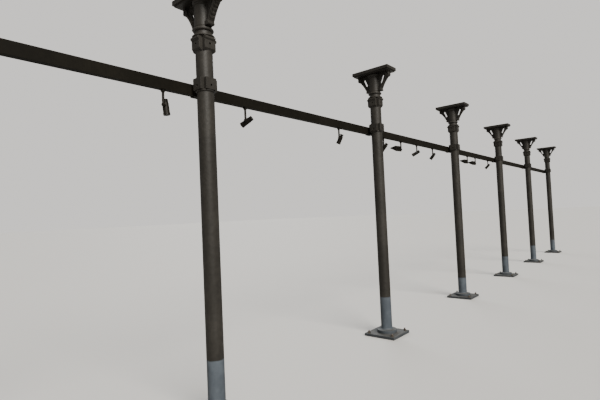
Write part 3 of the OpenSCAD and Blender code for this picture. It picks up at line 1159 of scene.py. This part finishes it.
def makeFloodFront(number, look):
    low, high = headSpan(number)
    middle = (high[0] - look["pocket"], middleLine(low, high, look["bodyWidth"]), (low[2] + high[2]) / 2)
    turn = Matrix.Rotation(math.radians(90), 4, "Y") @ Matrix.Rotation(math.radians(90), 4, "Z")
    floor = lampPlace(number) @ Matrix.Translation(middle) @ turn
    taken = 2 * look["rim"] + look["play"]
    wide, tall = look["bodyWidth"] - taken, high[2] - low[2] - taken
    lamp = f"lamp_{number}"
    makeFloodPan(lamp, floor, wide, tall, look)
    makeFloodChips(lamp, floor, look)
    makeFloodGlass(lamp, floor, wide, tall, look)
    makeFloodScrews(lamp, floor, wide, tall, look)


knobGrip = {
    "overlap": 0.0070,  # over the knob
    "cap": 0.0011,  # past the knob's end
    "radius": 0.0113,
    "flute": 0.0007,
    "flutes": 12,
    "flutePoints": 6,
    "edge": 0.0008,
    "shoulder": 0.0012,
    "dimple": 0.62,  # share of the radius
    "dimpleFloor": 0.9,  # share of the dimple
    "dimpleDepth": 0.0008,
}


def flutedRing(look, shrink, share=1.0):
    count = look["flutes"] * look["flutePoints"]
    ring = []
    for k in range(count):
        angle = 2 * math.pi * k / count
        radius = look["radius"] - shrink + look["flute"] * math.cos(look["flutes"] * angle)
        ring.append((radius * share * math.cos(angle), radius * share * math.sin(angle)))
    return ring


def makeKnobGrip(number, look):
    # the fluted cap on the knob that locks the tilting pin
    low, high = headSpan(number)
    hang = hangSide(low, high)
    knobEnd = -low[1] if hang > 0 else high[1]
    out = lampPlace(number) @ Matrix.Rotation(math.radians(90 * hang), 4, "X")
    start, end = knobEnd - look["overlap"], knobEnd + look["cap"]
    rings = [
        (flutedRing(look, look["edge"]), start),
        (flutedRing(look, 0), start + look["edge"]),
        (flutedRing(look, 0), end - look["shoulder"]),
        (flutedRing(look, look["shoulder"]), end),
        (flutedRing(look, look["flute"], look["dimple"]), end),
        (flutedRing(look, look["flute"], look["dimple"] * look["dimpleFloor"]), end - look["dimpleDepth"]),
    ]
    mesh = bmesh.new()
    pressed(mesh, rings, out)
    lamp, paint = f"lamp_{number}", paints["adaptor_black"]
    finishPiece(f"{lamp}_grip", mesh, paint, f"{lamp}_head", smoothBelow=35)


widestSpot = 0.15  # over the knob; a wider head is a floodlight's
for number in lampNumbers:
    low, high = headSpan(number)
    if high[1] - low[1] > widestSpot:
        makeFloodFront(number, floodFront)
    else:
        makeSpotFront(number, spotFront)
    makeKnobGrip(number, knobGrip)
print("lamp fronts and knobs made")


studio = {
    "floorColor": (0.80, 0.785, 0.76),
    "bounceColor": (0.30, 0.29, 0.275),  # the floor as the row sees it, for darker undersides
    "floorRoughness": 0.8,
    "floorSize": 400.0,
    "skyColor": (0.93, 0.905, 0.87),
    "skyStrength": 1.0,
    "fillStrength": 0.27,  # what the sky sheds on the row
    "spread": 35.0,  # degrees, for soft shadows
    "lights": {  # strength, aim and colour
        "keyLight": (3.7, (0.33, 0.90, -0.72), (1.0, 0.96, 0.89)),
        "frontLight": (0.25, (0.70, 0.72, -0.30), (1.0, 0.97, 0.92)),
        "backLight": (1.4, (-0.75, -0.85, -0.60), (0.90, 0.95, 1.0)),
    },
}


def makeFloor(look):
    mesh = bmesh.new()
    half = look["floorSize"] / 2
    corners = [mesh.verts.new((x * half, y * half, 0)) for x, y in ((-1, -1), (1, -1), (1, 1), (-1, 1))]
    mesh.faces.new(corners)
    data = bpy.data.meshes.new("studioFloor")
    mesh.to_mesh(data)
    mesh.free()
    floor = addObject("studioFloor", data)
    material, tree, shader = newMaterial("studioFloor", {"Roughness": look["floorRoughness"]})
    seen = addNode(tree, "ShaderNodeLightPath").outputs["Is Camera Ray"]
    color = blendColors(tree, seen, look["bounceColor"], look["floorColor"])
    feed(tree, shader.inputs["Base Color"], color)
    data.materials.append(material)


def makeLight(name, strength, aim, color, spread):
    data = bpy.data.lights.new(name, "SUN")
    data.energy = strength
    data.angle = math.radians(spread)
    data.color = color
    light = addObject(name, data)
    light.rotation_euler = Vector(aim).to_track_quat("-Z", "Y").to_euler()


def makeSky(look):
    world = bpy.data.worlds.new("studioWorld")
    bpy.context.scene.world = world
    world.use_nodes = True
    tree = world.node_tree
    sky = tree.nodes["Background"]
    seen = addNode(tree, "ShaderNodeLightPath").outputs["Is Camera Ray"]
    fill = look["fillStrength"]
    feed(tree, sky.inputs["Color"], look["skyColor"])
    feed(tree, sky.inputs["Strength"], plus(tree, fill, times(tree, seen, look["skyStrength"] - fill)))


makeFloor(studio)
makeSky(studio)
for lightName, (power, aim, color) in studio["lights"].items():
    makeLight(lightName, power, aim, color, studio["spread"])
print("studio lit")
